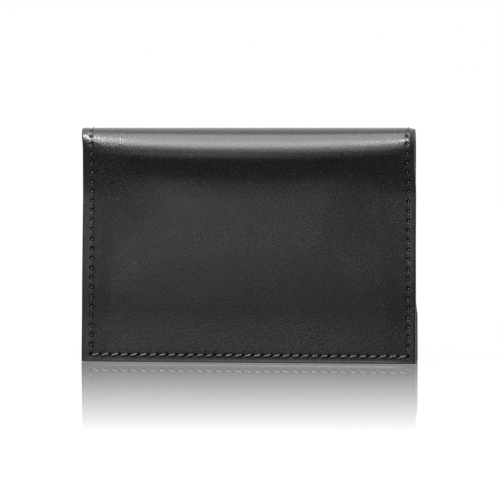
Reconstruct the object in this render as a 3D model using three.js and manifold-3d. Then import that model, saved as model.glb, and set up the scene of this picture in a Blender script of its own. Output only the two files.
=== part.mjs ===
// Bifold leather key case: two covers joined by a rolled fold, a bar of six key hooks inside, and a
// press stud that closes it. Sizes are in millimetres. X runs along the fold, the plain back cover is
// on the -Y side, the front cover on the +Y side, and +Z is up. The case stands closed on its cover edges.
import * as THREE from "three";
import { mergeVertices } from "three/addons/utils/BufferGeometryUtils.js";
import Module from "manifold-3d";

const wasm = await Module();
wasm.setup();

// Case: the fold swells past the flat covers, and the swelling fades towards its sewn ends.
const caseWidth = 107;
const caseHeight = 75.5;
const coverDepth = 14;
const rollSwell = 2;
const rollSwellAtEnds = 0.2;
const swellFadeShare = 0.93;
const hollowRadius = 30;
const outerThickness = 1.6;
const liningThickness = 1.1;
const glueGap = 0.1;
const foldGap = 0.3;
const seatGap = 0.1;

// Card pocket on the front lining
const pocketHeight = 40;
const pocketThickness = 1;
const pocketGap = 0.3;
const notchWidth = 24;
const notchDepth = 5;

// Key bar, its rod and its rivets
const barThickness = 1.2;
const barDrop = 4.2;
const barrelRadius = 1.7;
const rodRadius = 0.8;
const rodClearance = 0.15;
const rodDrop = 0.5;
const rodOverhang = 0.4;
const endKnuckle = 4;
const barRivetOffset = 8.25;
const barRivetDrop = 3.5;
const barLobeRadius = 3.8;
const barRivetRadius = 1.2;
const barRivetHead = 2.4;
const barRivetHeadHeight = 1.1;
const barRivetFlange = 2.4;
const flangeThickness = 0.5;
const holeClearance = 0.15;

// Key hooks
const hookCount = 6;
const hookPitch = 11.5;
const hookLength = 26;
const hookWidth = 9.5;
const hookStrip = 1.9;
const hookThickness = 1.4;
const eyeRadius = 1.6;
const eyeWidth = 4.4;
const eyeGap = 0.3;
const neckDrop = 2.6;
const noseDrop = 15.5;

// Spring gates and their rivets
const gateThickness = 0.5;
const gateCheek = 0.45;
const gateClearance = 0.15;
const gateSeat = 0.2;
const gateOverlap = 2;
const gatePivotInset = 0.25;
const gatePivotDrop = 5.8;
const shoulderRadius = 2.1;
const cheekRadius = 1.5;
const cheekTail = 1.2;
const leafGap = 0.9;
const gateRivetRadius = 0.6;
const gateRivetHead = 1.05;
const gateRivetHeadHeight = 0.35;

// Press stud
const snapHeight = 10;
const snapEngagement = 1.1;
const snapClearance = 0.35;
const capRadius = 6;
const capRim = 0.5;
const capHeight = 1.6;
const capShank = 1.5;
const capFlare = 2.2;
const flareThickness = 0.4;
const socketRadius = 5.2;
const socketMouthRim = 1.3;
const socketFloor = 0.8;
const studHeight = 4.2;
const studFlange = 4.5;
const studNeck = 2;
const studBall = 2.45;
const postShank = 1.1;
const postFlare = 1.55;
const postFlange = 4.4;
const flareRecess = 0.6;

// Places worked out from the sizes above
const halfWidth = caseWidth / 2;
const swellFade = swellFadeShare * halfWidth;
const halfDepth = coverDepth / 2;
const rollRadius = halfDepth + rollSwell;
const archZ = caseHeight - halfDepth;
const liningBack = halfDepth - outerThickness - glueGap;
const liningFace = liningBack - liningThickness;
const pocketBack = liningFace - pocketGap;
const pocketFace = pocketBack - pocketThickness;
const rodY = -liningFace + seatGap + barrelRadius;
const rodZ = archZ - rodDrop;
const barRivetX = ((hookCount - 1) * hookPitch) / 2 + barRivetOffset;
const barRivetZ = rodZ - barRivetDrop;
const socketHeight = liningFace + pocketFace - studHeight + snapEngagement;

// The fold turns about two lines on its outer surface. They are set so that the opened covers lie level.
const foldAngle = Math.acos((halfDepth / rollRadius - 1) / Math.SQRT2) - Math.PI / 4;
const foldY = rollRadius * Math.cos(foldAngle);
const foldZ = caseHeight - rollRadius + rollRadius * Math.sin(foldAngle);

// Bases that lay a flat outline in the YZ plane, extruded along +X, or in the XZ plane, extruded along -Y
const axisX = new THREE.Vector3(1, 0, 0);
const axisY = new THREE.Vector3(0, 1, 0);
const axisZ = new THREE.Vector3(0, 0, 1);
const outlineYZ = new THREE.Matrix4().makeBasis(axisY, axisZ, axisX);
const outlineXZ = new THREE.Matrix4().makeBasis(axisX, axisZ, axisY.clone().negate());

// One closed solid from a geometry: corners are shared, collapsed faces dropped, and faces turned outwards.
function solid(geometry) {
  const bare = geometry.clone();
  bare.deleteAttribute("normal");
  bare.deleteAttribute("uv");
  const { attributes, index } = mergeVertices(bare, 1e-4);
  const corners = attributes.position.array;
  const faces = [];
  for (let i = 0; i < index.count; i += 3) {
    const face = [index.getX(i), index.getX(i + 1), index.getX(i + 2)];
    if (new Set(face).size === 3) faces.push(face);
  }
  const point = (i) => new THREE.Vector3().fromArray(corners, 3 * i);
  const volume = faces.reduce((sum, [a, b, c]) => sum + point(a).dot(point(b).cross(point(c))), 0);
  const outward = volume < 0 ? faces.map(([a, b, c]) => [a, c, b]) : faces;
  const triVerts = new Uint32Array(outward.flat());
  return new wasm.Manifold(new wasm.Mesh({ numProp: 3, vertProperties: corners, triVerts }));
}

function geometryOf(manifold) {
  const { vertProperties, triVerts } = manifold.getMesh();
  const geometry = new THREE.BufferGeometry();
  geometry.setAttribute("position", new THREE.BufferAttribute(vertProperties, 3));
  geometry.setIndex(new THREE.BufferAttribute(triVerts, 1));
  geometry.computeVertexNormals();
  return geometry;
}

function addPiece(parent, name, manifold, material) {
  const mesh = new THREE.Mesh(geometryOf(manifold), material.clone());
  mesh.name = name;
  parent.add(mesh);
  return mesh;
}

// An outline in the YZ plane, extruded from x0 to x1
function prismX(shape, x0, x1, curveSegments = 12) {
  const options = { depth: x1 - x0, bevelEnabled: false, curveSegments };
  const geometry = new THREE.ExtrudeGeometry(shape, options);
  return solid(geometry.applyMatrix4(outlineYZ).translate(x0, 0, 0));
}

// An outline in the XZ plane, extruded from y0 to y1
function prismY(shape, y0, y1, curveSegments = 12) {
  const options = { depth: y1 - y0, bevelEnabled: false, curveSegments };
  const geometry = new THREE.ExtrudeGeometry(shape, options);
  return solid(geometry.applyMatrix4(outlineXZ).translate(0, y1, 0));
}

function boxBetween(low, high) {
  const size = high.map((value, i) => value - low[i]);
  const middle = high.map((value, i) => (value + low[i]) / 2);
  return solid(new THREE.BoxGeometry(...size).translate(...middle));
}

function cylinderX(radius, x0, x1, y, z, segments = 16) {
  const geometry = new THREE.CylinderGeometry(radius, radius, x1 - x0, segments);
  return solid(geometry.rotateZ(Math.PI / 2).translate((x0 + x1) / 2, y, z));
}

function cylinderY(radius, y0, y1, x, z, segments = 24) {
  const geometry = new THREE.CylinderGeometry(radius, radius, y1 - y0, segments);
  return solid(geometry.translate(x, (y0 + y1) / 2, z));
}

// A profile of [radius, height] points turned about the Y axis
function turned(profile, segments = 24) {
  const points = profile.map(([radius, height]) => new THREE.Vector2(radius, height));
  return solid(new THREE.LatheGeometry(points, segments));
}

// Points of a low dome from its rim to its crown on the axis
function dome(radius, base, height, steps = 4) {
  const curve = new THREE.EllipseCurve(0, base, radius, height, 0, Math.PI / 2);
  return curve.getPoints(steps).map(({ x, y }) => [Math.max(x, 0), y]);
}

// A skin through rings of [y, z] points, one ring for each station along X, closed at both ends
function loftX(stations) {
  const count = stations[0].ring.length;
  const positions = stations.flatMap(({ x, ring }) => ring.flatMap(({ x: y, y: z }) => [x, y, z]));
  const last = (stations.length - 1) * count;
  const faces = [];
  for (let first = 0; first < last; first += count) {
    for (let i = 0; i < count; i += 1) {
      const a = first + i;
      const b = first + ((i + 1) % count);
      faces.push(a, b, b + count, a, b + count, a + count);
    }
  }
  for (const [a, b, c] of THREE.ShapeUtils.triangulateShape(stations[0].ring, [])) {
    faces.push(a, c, b);
  }
  for (const [a, b, c] of THREE.ShapeUtils.triangulateShape(stations.at(-1).ring, [])) {
    faces.push(last + a, last + b, last + c);
  }
  const geometry = new THREE.BufferGeometry();
  geometry.setAttribute("position", new THREE.Float32BufferAttribute(positions, 3));
  geometry.setIndex(faces);
  return solid(geometry);
}

function arc(y, z, radius, start, end, steps) {
  return new THREE.EllipseCurve(y, z, radius, radius, start, end, end < start).getPoints(steps);
}

// The leather's path in the YZ plane at a depth below its outer surface, from the front cover's lower edge
// over the fold to the back cover's: flat cover, hollow under the roll, roll, hollow, flat cover.
function leatherPath(swell, depth) {
  const radius = halfDepth + swell;
  const rollZ = caseHeight - radius;
  const lean = Math.acos((halfDepth + hollowRadius) / (radius + hollowRadius));
  const hollowY = halfDepth + hollowRadius;
  const hollowZ = rollZ - (radius + hollowRadius) * Math.sin(lean);
  const front = arc(hollowY, hollowZ, hollowRadius + depth, Math.PI, Math.PI - lean, 4);
  const roll = arc(0, rollZ, radius - depth, -lean, Math.PI + lean, 26);
  const back = arc(-hollowY, hollowZ, hollowRadius + depth, lean, 0, 4);
  const frontEdge = new THREE.Vector2(halfDepth - depth, 0);
  const backEdge = new THREE.Vector2(depth - halfDepth, 0);
  return [frontEdge, ...front.slice(0, -1), ...roll, ...back.slice(1), backEdge];
}

// The outer leather before it is parted at the fold lines
function outerSheet() {
  const fadeSteps = 6;
  const right = Array.from({ length: fadeSteps + 1 }, (_, i) => {
    return halfWidth - swellFade * Math.pow(i / fadeSteps, 1.5);
  });
  const places = [...right.map((x) => -x), ...right.reverse()];
  return loftX(
    places.map((x) => {
      const fade = 1 - Math.pow(1 - (halfWidth - Math.abs(x)) / swellFade, 2);
      const swell = THREE.MathUtils.lerp(rollSwellAtEnds, rollSwell, fade);
      const inner = leatherPath(swell, outerThickness).reverse();
      return { x, ring: [...leatherPath(swell, 0), ...inner] };
    }),
  );
}

// The lining before it is parted: flat on the covers, with an arch inside the fold
function liningSheet() {
  const shape = new THREE.Shape();
  shape.moveTo(liningBack, 0);
  shape.lineTo(liningBack, archZ);
  shape.absarc(0, archZ, liningBack, 0, Math.PI, false);
  shape.lineTo(-liningBack, 0);
  shape.lineTo(-liningFace, 0);
  shape.lineTo(-liningFace, archZ);
  shape.absarc(0, archZ, liningFace, Math.PI, 0, true);
  shape.lineTo(liningFace, 0);
  return prismX(shape, -halfWidth, halfWidth, 24);
}

// Regions of space that part the leather into back cover, spine and front cover. Each boundary plane runs
// from a fold line to the middle of the lining's arch, and the spine is narrower by the fold gap.
function foldRegions() {
  const reach = 2 * caseHeight;
  const way = new THREE.Vector2(foldY, foldZ - archZ).normalize();
  const far = way.clone().multiplyScalar(reach).add(new THREE.Vector2(0, archZ));
  const lift = foldGap / way.x;
  const outline = (points) => new THREE.Shape(points.map(([y, z]) => new THREE.Vector2(y, z)));
  const region = (points) => prismX(outline(points), -halfWidth - 1, halfWidth + 1);
  const side = (sign) => [
    [0, -reach],
    [sign * reach, -reach],
    [sign * reach, far.y],
    [sign * far.x, far.y],
    [0, archZ],
  ];
  const wedge = [
    [0, archZ + lift],
    [far.x, far.y + lift],
    [-far.x, far.y + lift],
  ];
  return { back: region(side(-1)), spine: region(wedge), front: region(side(1)) };
}

// A hole through leather on one cover, centred at x and z
function coverHole(radius, x, z) {
  return cylinderY(radius + holeClearance, -halfDepth - 1, halfDepth + 1, x, z, 16);
}

// The seat that a hidden flange presses into the flesh side of the back cover's outer leather
function flangeSeat(radius, x, z) {
  const depth = flangeThickness + 2 * seatGap;
  return cylinderY(radius + holeClearance, -liningBack - depth, -liningBack, x, z, 24);
}

function cardPocket() {
  const shape = new THREE.Shape();
  shape.moveTo(-halfWidth, 0);
  shape.lineTo(halfWidth, 0);
  shape.lineTo(halfWidth, pocketHeight);
  shape.lineTo(notchWidth / 2, pocketHeight);
  shape.bezierCurveTo(
    notchWidth / 4, pocketHeight, notchWidth / 4, pocketHeight - notchDepth, 0, pocketHeight - notchDepth,
  );
  shape.bezierCurveTo(
    -notchWidth / 4, pocketHeight - notchDepth, -notchWidth / 4, pocketHeight, -notchWidth / 2, pocketHeight,
  );
  shape.lineTo(-halfWidth, pocketHeight);
  return prismY(shape, pocketFace, pocketBack, 8).subtract(coverHole(capShank, 0, snapHeight));
}

const hookPlaces = Array.from({ length: hookCount }, (_, i) => (i - (hookCount - 1) / 2) * hookPitch);
const barrelEnd = hookPlaces.at(-1) + eyeWidth / 2 + eyeGap + endKnuckle;

// Plate with a riveted lobe at each end and knuckles along its top, with a slot for each hook's eye
function keyBar() {
  const back = -liningFace + seatGap;
  const front = back + barThickness;
  let bar = boxBetween([-barRivetX, back, rodZ - barDrop], [barRivetX, front, rodZ]);
  bar = bar.add(cylinderX(barrelRadius, -barrelEnd, barrelEnd, rodY, rodZ));
  for (const x of [-barRivetX, barRivetX]) {
    bar = bar.add(cylinderY(barLobeRadius, back, front, x, barRivetZ, 28));
    bar = bar.subtract(coverHole(barRivetRadius, x, barRivetZ));
  }
  bar = bar.subtract(cylinderX(rodRadius + rodClearance, -barrelEnd - 1, barrelEnd + 1, rodY, rodZ));
  for (const x of hookPlaces) {
    const side = eyeWidth / 2 + eyeGap;
    const low = [x - side, back - 1, rodZ - eyeRadius - eyeGap];
    bar = bar.subtract(boxBetween(low, [x + side, rodY + barrelRadius + 1, rodZ + barrelRadius + 1]));
  }
  return bar;
}

function barRivet() {
  const headBase = liningThickness + barThickness + 2 * seatGap;
  return turned(
    [
      [0, -seatGap - flangeThickness],
      [barRivetFlange, -seatGap - flangeThickness],
      [barRivetFlange, -seatGap],
      [barRivetRadius, -seatGap],
      [barRivetRadius, headBase],
      ...dome(barRivetHead, headBase, barRivetHeadHeight),
    ],
    16,
  );
}

// Hook outline below its eye: neck, left side, round bottom, nose, then back along the inside to the shoulder
const loopRadius = hookWidth / 2;
const innerRadius = loopRadius - hookStrip;
const gatePivotX = innerRadius - gatePivotInset;

function hookShape() {
  const bottom = -(hookLength - loopRadius);
  const noseZ = -noseDrop - hookStrip / 2;
  const underside = -gatePivotDrop - shoulderRadius;
  const shape = new THREE.Shape();
  shape.moveTo(-eyeWidth / 2, 0);
  shape.lineTo(-eyeWidth / 2, -neckDrop);
  shape.bezierCurveTo(
    -eyeWidth / 2, -neckDrop - hookStrip, -loopRadius, -neckDrop - hookStrip, -loopRadius, underside,
  );
  shape.lineTo(-loopRadius, bottom);
  shape.absarc(0, bottom, loopRadius, Math.PI, 2 * Math.PI, false);
  shape.lineTo(loopRadius, noseZ);
  shape.absarc(loopRadius - hookStrip / 2, noseZ, hookStrip / 2, 0, Math.PI, false);
  shape.lineTo(innerRadius, bottom);
  shape.absarc(0, bottom, innerRadius, 2 * Math.PI, Math.PI, true);
  shape.lineTo(-innerRadius, underside - innerRadius / 2);
  shape.quadraticCurveTo(-innerRadius, underside, -innerRadius / 2, underside);
  shape.lineTo(gatePivotX, underside);
  shape.absarc(gatePivotX, -gatePivotDrop, shoulderRadius, -Math.PI / 2, Math.PI / 4, false);
  shape.lineTo(eyeWidth / 2, -neckDrop);
  shape.lineTo(eyeWidth / 2, 0);
  return shape;
}

// The plate hangs level with the front of its eye, so that it clears the bar
const hookPlateY = eyeRadius - hookThickness / 2;

function keyHook() {
  const plate = prismY(hookShape(), eyeRadius - hookThickness, eyeRadius, 8);
  const eye = cylinderX(eyeRadius, -eyeWidth / 2, eyeWidth / 2, 0, 0);
  const bore = cylinderX(rodRadius + rodClearance, -eyeWidth, eyeWidth, 0, 0);
  const rivetHole = cylinderY(
    gateRivetRadius + gateClearance, -hookLength, hookLength, gatePivotX, -gatePivotDrop, 12,
  );
  return plate.add(eye).subtract(bore).subtract(rivetHole);
}

// Spring gate about its rivet: two cheeks astride the shoulder and a leaf that closes against the nose
const cheekInner = hookThickness / 2 + gateClearance;
const cheekOuter = cheekInner + gateCheek;

function hookGate() {
  const leafX = innerRadius - gateSeat - gateThickness - gatePivotX;
  const leafTop = -shoulderRadius - leafGap;
  const leafBottom = gatePivotDrop - noseDrop - gateOverlap;
  const cheekBottom = leafTop - cheekRadius;
  const shape = new THREE.Shape();
  shape.moveTo(leafX, cheekBottom);
  shape.lineTo(leafX + cheekTail, cheekBottom);
  shape.lineTo(cheekRadius, 0);
  shape.absarc(0, 0, cheekRadius, 0, Math.PI, false);
  const hole = new THREE.Path();
  hole.absarc(0, 0, gateRivetRadius + gateClearance, 0, 2 * Math.PI, true);
  shape.holes.push(hole);
  const leaf = boxBetween([leafX, -cheekOuter, leafBottom], [leafX + gateThickness, cheekOuter, leafTop]);
  return leaf.add(prismY(shape, cheekInner, cheekOuter, 6)).add(prismY(shape, -cheekOuter, -cheekInner, 6));
}

function gateRivet() {
  const base = cheekOuter + seatGap;
  const head = dome(gateRivetHead, base, gateRivetHeadHeight, 2);
  const tail = head.map(([radius, height]) => [radius, -height]).reverse();
  return turned([...tail, [gateRivetRadius, -base], [gateRivetRadius, base], ...head], 12);
}

// Stud on the back lining, bored for its post, with a recess in its crown for the post's flared end
function snapStud() {
  const bore = postShank + holeClearance;
  const recess = postFlare + holeClearance;
  const top = seatGap + studHeight;
  return turned([
    [bore, seatGap],
    [studFlange, seatGap],
    [studFlange, seatGap + flangeThickness],
    [studNeck + 1, seatGap + 2 * flangeThickness],
    [studNeck, top - 2.4],
    [studNeck, top - 1.9],
    [studBall, top - 1.3],
    [studBall, top - 0.8],
    [recess + 0.3, top],
    [recess, top],
    [recess, top - flareRecess],
    [bore, top - flareRecess],
    [bore, seatGap],
  ]);
}

// Post behind the back lining, with heights measured from the lining's hidden face
function snapPost() {
  const flareBase = liningThickness + seatGap + studHeight - flareRecess + seatGap;
  return turned([
    [0, -seatGap - flangeThickness],
    [postFlange, -seatGap - flangeThickness],
    [postFlange, -seatGap],
    [postShank, -seatGap],
    [postShank, flareBase],
    [postFlare, flareBase],
    [postFlare, flareBase + flareThickness],
    [0, flareBase + flareThickness],
  ]);
}

// Socket on the card pocket, which the stud's ball enters
function snapSocket() {
  const hole = capShank + holeClearance;
  const cavity = studBall + snapClearance;
  const top = socketHeight - seatGap;
  return turned([
    [hole, seatGap],
    [socketRadius, seatGap],
    [socketRadius, socketFloor],
    [cavity + socketMouthRim, top - flangeThickness],
    [cavity + socketMouthRim / 2, top],
    [cavity, top],
    [cavity, seatGap + socketFloor],
    [hole, seatGap + socketFloor],
    [hole, seatGap],
  ]);
}

// Cap on the outside of the front cover, with a shank through the leather that is flared inside the socket
function snapCap() {
  const layers = halfDepth - pocketFace;
  const flareBase = -layers - socketFloor - 2 * seatGap;
  return turned([
    [0, flareBase - flareThickness],
    [capFlare, flareBase - flareThickness],
    [capFlare, flareBase],
    [capShank, flareBase],
    [capShank, seatGap],
    [capRadius - capRim, seatGap],
    ...dome(capRadius, seatGap + capRim, capHeight - capRim, 5),
  ]);
}

const outerLeather = new THREE.MeshStandardMaterial({ color: 0x17171a, roughness: 0.35, metalness: 0 });
const liningLeather = new THREE.MeshStandardMaterial({ color: 0x1f1d1d, roughness: 0.6, metalness: 0 });
const nickel = new THREE.MeshStandardMaterial({ color: 0xc9c7c2, roughness: 0.25, metalness: 1 });
const springSteel = new THREE.MeshStandardMaterial({ color: 0xb4b5b6, roughness: 0.3, metalness: 1 });

const keyCase = new THREE.Group();
const regions = foldRegions();
const outer = outerSheet();
const lining = liningSheet();

function buildBackCover() {
  const cover = new THREE.Group();
  keyCase.add(cover);
  let leather = outer.intersect(regions.back).subtract(flangeSeat(postFlange, 0, snapHeight));
  let inside = lining.intersect(regions.back).subtract(coverHole(postShank, 0, snapHeight));
  for (const x of [-barRivetX, barRivetX]) {
    leather = leather.subtract(flangeSeat(barRivetFlange, x, barRivetZ));
    inside = inside.subtract(coverHole(barRivetRadius, x, barRivetZ));
  }
  addPiece(cover, "back_outer_leather", leather, outerLeather);
  addPiece(cover, "back_lining", inside, liningLeather);
  addPiece(cover, "key_bar", keyBar(), nickel);
  const rod = cylinderX(rodRadius, -barrelEnd - rodOverhang, barrelEnd + rodOverhang, rodY, rodZ);
  addPiece(cover, "key_rod", rod, springSteel);
  for (const [side, x] of [["left", -barRivetX], ["right", barRivetX]]) {
    addPiece(cover, `bar_rivet_${side}`, barRivet(), nickel).position.set(x, -liningBack, barRivetZ);
  }
  addPiece(cover, "snap_stud", snapStud(), nickel).position.set(0, -liningFace, snapHeight);
  addPiece(cover, "snap_post", snapPost(), nickel).position.set(0, -liningBack, snapHeight);
}

function buildSpine() {
  const spine = new THREE.Group();
  keyCase.add(spine);
  addPiece(spine, "spine_outer_leather", outer.intersect(regions.spine), outerLeather);
  addPiece(spine, "spine_lining", lining.intersect(regions.spine), liningLeather);
}

function buildFrontCover() {
  const cover = new THREE.Group();
  keyCase.add(cover);
  const hole = coverHole(capShank, 0, snapHeight);
  addPiece(cover, "front_outer_leather", outer.intersect(regions.front).subtract(hole), outerLeather);
  addPiece(cover, "front_lining", lining.intersect(regions.front).subtract(hole), liningLeather);
  addPiece(cover, "card_pocket", cardPocket(), liningLeather);
  addPiece(cover, "snap_cap", snapCap(), nickel).position.set(0, halfDepth, snapHeight);
  const socket = addPiece(cover, "snap_socket", snapSocket(), nickel);
  socket.position.set(0, pocketFace, snapHeight);
  socket.rotation.z = Math.PI;
}

function buildHooks() {
  hookPlaces.forEach((x, i) => {
    const hook = new THREE.Group();
    hook.position.set(x, rodY, rodZ);
    keyCase.add(hook);
    addPiece(hook, `key_hook_${i + 1}`, keyHook(), nickel);
    const pivot = new THREE.Group();
    pivot.position.set(gatePivotX, hookPlateY, -gatePivotDrop);
    hook.add(pivot);
    addPiece(pivot, `hook_gate_${i + 1}`, hookGate(), springSteel);
    addPiece(pivot, `gate_rivet_${i + 1}`, gateRivet(), nickel);
  });
}

buildBackCover();
buildSpine();
buildFrontCover();
buildHooks();

export default keyCase;
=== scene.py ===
"""Bifold leather key case, standing closed on its cover edges.

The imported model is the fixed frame. The metal parts are its own solids with better materials. The leather,
the lining, the card pocket and the sewing thread are built here and take the place of its soft solids.
Lengths are in millimetres until a mesh is made. X runs along the fold, the back cover faces -Y, +Z is up.
"""
import math

import bmesh
import bpy
import numpy as np
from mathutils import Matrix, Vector


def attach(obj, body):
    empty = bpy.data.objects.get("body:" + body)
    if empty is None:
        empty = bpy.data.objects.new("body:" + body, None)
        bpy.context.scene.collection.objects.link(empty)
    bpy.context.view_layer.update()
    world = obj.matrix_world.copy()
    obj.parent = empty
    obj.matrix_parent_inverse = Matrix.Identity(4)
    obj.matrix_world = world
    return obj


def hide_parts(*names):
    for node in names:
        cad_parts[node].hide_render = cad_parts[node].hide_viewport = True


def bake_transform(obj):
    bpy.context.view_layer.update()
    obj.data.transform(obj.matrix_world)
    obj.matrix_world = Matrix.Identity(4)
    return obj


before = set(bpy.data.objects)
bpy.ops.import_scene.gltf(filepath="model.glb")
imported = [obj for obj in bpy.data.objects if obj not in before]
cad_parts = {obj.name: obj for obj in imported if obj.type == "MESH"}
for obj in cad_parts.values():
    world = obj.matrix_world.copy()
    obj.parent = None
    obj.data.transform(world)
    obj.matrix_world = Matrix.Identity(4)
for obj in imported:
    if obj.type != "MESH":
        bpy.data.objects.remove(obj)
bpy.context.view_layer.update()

MM = 0.001

# Case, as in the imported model
HALF_WIDTH = 53.5
HEIGHT = 75.5
HALF_DEPTH = 7.0
ROLL_SWELL = 2.0
END_SWELL = 0.2
SWELL_FADE = 0.93 * HALF_WIDTH
HOLLOW_RADIUS = 30.0
OUTER_THICKNESS = 1.6
LINING_FACE = 4.2
LINING_THICKNESS = 1.1
ARCH_Z = HEIGHT - HALF_DEPTH
POCKET_FACE = 2.9
POCKET_THICKNESS = 1.0
POCKET_HEIGHT = 40.0
NOTCH_HALF_WIDTH = 12.0
NOTCH_DEPTH = 5.0
SNAP_Z = 10.0
CAP_RADIUS = 6.0

# Card pocket: how far below the mouth its rows start to dip round the notch, its last grid rows below the mouth,
# and the line creased along it
NOTCH_FADE = 15.0
MOUTH_ROWS = (5.0, 3.2, 2.6, 2.2, 1.8, 1.2)
MOUTH_CREASE = 0.12
MOUTH_CREASE_DROP = 2.2
MOUTH_CREASE_WIDTH = 0.35

# Sewing
SEAM_INSET = 2.7
SEAM_SHIFT = 0.37
SEAM_X = HALF_WIDTH - SEAM_INSET
SEAM_Z = 2.4
SEAM_OVERRUN = 1.2
SEAM_FADE = 0.6
FOOT_STITCHES = 33
SIDE_STITCHES = 25
FOOT_PITCH = 2 * SEAM_X / FOOT_STITCHES
FOOT_THREAD = 0.25
SIDE_THREAD = 0.22
SIDE_THREAD_SHIFT = 0.05
STITCH_SLANT = 0.36

# Height of the thread over the leather: along a foot stitch by its share, down a side stitch by millimetres
FOOT_SHARES = (0.0, 0.08, 0.14, 0.2, 0.27, 0.38, 0.52, 0.65, 0.77, 0.85, 0.92, 1.0)
FOOT_HEIGHTS = (-0.95, -0.65, -0.3, -0.02, 0.04, -0.08, -0.16, -0.18, -0.22, -0.42, -0.65, -0.95)
SIDE_DROPS = (-0.3, -0.16, -0.04, 0.06, 0.16, 0.28, 0.4, 0.55, 0.9, 1.6, 2.3, 2.6)
SIDE_HEIGHTS = (-0.9, -0.5, -0.06, 0.06, 0.06, -0.12, -0.46, -0.68, -0.68, -0.68, -0.68, -0.9)

# Stitches differ a little: how fast the difference runs along a seam, and how much it moves a stitch
FOOT_SWAY_STEP = 12.9898
FOOT_SWAY_SLANT = 0.2
FOOT_SWAY_HEIGHT = 0.03
SIDE_SWAY_STEP = 78.233
SIDE_SWAY_X = 0.06
SIDE_SWAY_HEIGHT = 0.04

# Stitch holes and grooves; a hole is its depth and its half sizes along and across the seam
SIDE_HOLE = (0.8, 0.48, 0.36)
FOOT_HOLE = (0.45, 0.42, 0.4)
HOLE_DRAW = (0.05, 0.8, 0.9)
# Holes deeper than this get the near-black raw leather, which is dull fibres and also painted shade in the pits
RAW_AND_SHADE_DEPTH = 0.06
SIDE_GROOVE = 0.05
SIDE_GROOVE_WIDTH = 0.6
FOOT_GROOVE = 0.14
FOOT_GROOVE_DROP = 1.0
FOOT_GROOVE_WIDTH = 0.75
GROOVE_STOP = 0.6
GROOVE_END = 8.0

# Grid lines of a sewn sheet
HOLE_REACH = 0.7
HOLE_LINES = (-HOLE_REACH, -0.5, -0.25, 0.0, 0.25, 0.5, HOLE_REACH)
STITCH_LINES = (0.31, 0.5, 0.69)
LINE_GAP = 0.08
EDGE_STEP = 0.4
BORDER_ROWS = (0.28, 0.4, 0.5, 0.65, 0.8, 0.95, 1.15, 1.4)
ROW_SPLIT = 40.0
BACK_STEPS = (8, 4)

# Cut edge: turns of its rounding in degrees, then steps (inwards, above the back) to the back
EDGE_RADIUS = 0.18
EDGE_TURNS = (22.5, 45.0, 67.5, 90.0)
BACK_ROUND = ((0.0, 0.3), (0.1, 0.08), (0.35, 0.0))
EDGE_RINGS = len(EDGE_TURNS) + len(BACK_ROUND)
EDGE_CORNER = 0.8

# Soft form of a cover. WAY names are ways up the leather from its foot, REACH and FADE names are lengths
PILLOW = 0.2
PILLOW_REACH = 8.0
PILLOW_WAY = 62.0
PILLOW_FADE = 30.0
BOW = 0.15
SIDE_BOW = 0.14
BOW_WAY = 23.0
BOW_REACH = 18.0
HOLLOW_EASE = 5.0
EASE_WAY = 62.0
EASE_FADE = 8.0
HOLLOW_DENT = 0.2
DENT_WAY = 60.5
DENT_REACH = 4.0
FOOT_SPREAD = 0.55
SPREAD_WAY = -3.0
SPREAD_FADE = 20.0
BEAD = 0.05
BEAD_WAY = 0.3
BEAD_REACH = 0.32
CORNER_DIP = 0.35
CORNER_REACH = 2.2
CORNER_WAY = 60.0
CORNER_FADE = 8.0
CAP_DRAW = 0.12
CAP_DRAW_REACH = 5.0

# Pressed ends of the fold; a band is where it starts, its rise, where it ends and its fall
END_PINCH = 1.5
PINCH_REACH = 30.0
PINCH_BAND = (22.0, 34.0, 53.0, 14.0)
END_DRAW = 0.6
DRAW_REACH = 16.0
DRAW_BAND = (45.0, 20.0, 66.0, 11.0)
END_DROOP = 0.9
DROOP_REACH = 6.5
DROOP_BAND = (55.0, 14.0, 70.0, 9.5)
RIGHT_END_SHARE = 0.5

# Side edges, cut by hand
LEFT_FLARE = 0.3
RIGHT_FLARE = 0.15
FLARE_POWER = 1.6
RIGHT_LEAN = 0.48
LEAN_REACH = 14.0
TOP_FLARE = 0.7
FRONT_FLARE = 0.48
FRONT_LEFT_FLARE = -0.1
FRONT_FLARE_HEIGHT = 20.0
FRONT_FLARE_FADE = 6.0
DRIFT_POWER = 3
CORNER_TURN = 0.18
TURN_DEPTH = 0.5
TURN_HEIGHT = 24.0
TURN_FADE = 20.0
TURN_POWER = 12


def smooth(t):
    """Eases from 0 to 1."""
    t = np.clip(t, 0.0, 1.0)
    return t * t * (3.0 - 2.0 * t)


def bell(t):
    """A smooth hump, 1 high and about 2 wide."""
    return np.exp(-np.square(t))


def band(s, start, rise, end, fall):
    """1 along a stretch of the way up, eased in and out."""
    return smooth((s - start) / rise) * (1.0 - smooth((s - end) / fall))


def roll_sizes(x):
    """The fold's radius, the lean of its foot, the height where the cover hollows, and the way to the top."""
    fade = 1.0 - np.square(1.0 - np.clip((HALF_WIDTH - np.abs(x)) / SWELL_FADE, 0.0, 1.0))
    radius = HALF_DEPTH + END_SWELL + (ROLL_SWELL - END_SWELL) * fade
    lean = np.arccos((HALF_DEPTH + HOLLOW_RADIUS) / (radius + HOLLOW_RADIUS))
    hollow_z = HEIGHT - radius - (radius + HOLLOW_RADIUS) * np.sin(lean)
    way = hollow_z + HOLLOW_RADIUS * lean + radius * (math.pi / 2 + lean)
    return radius, lean, hollow_z, way


OUTER_WAY = float(roll_sizes(np.array(SEAM_X))[3])
LINING_WAY = ARCH_Z + LINING_FACE * math.pi / 2


def own_way(x, s):
    """The way up from the foot at x. Above the split, rows are shared out so that each column ends at the top."""
    shared = ROW_SPLIT + (s - ROW_SPLIT) * (roll_sizes(x)[3] - ROW_SPLIT) / (OUTER_WAY - ROW_SPLIT)
    return np.where(s <= ROW_SPLIT, s, shared)


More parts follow.
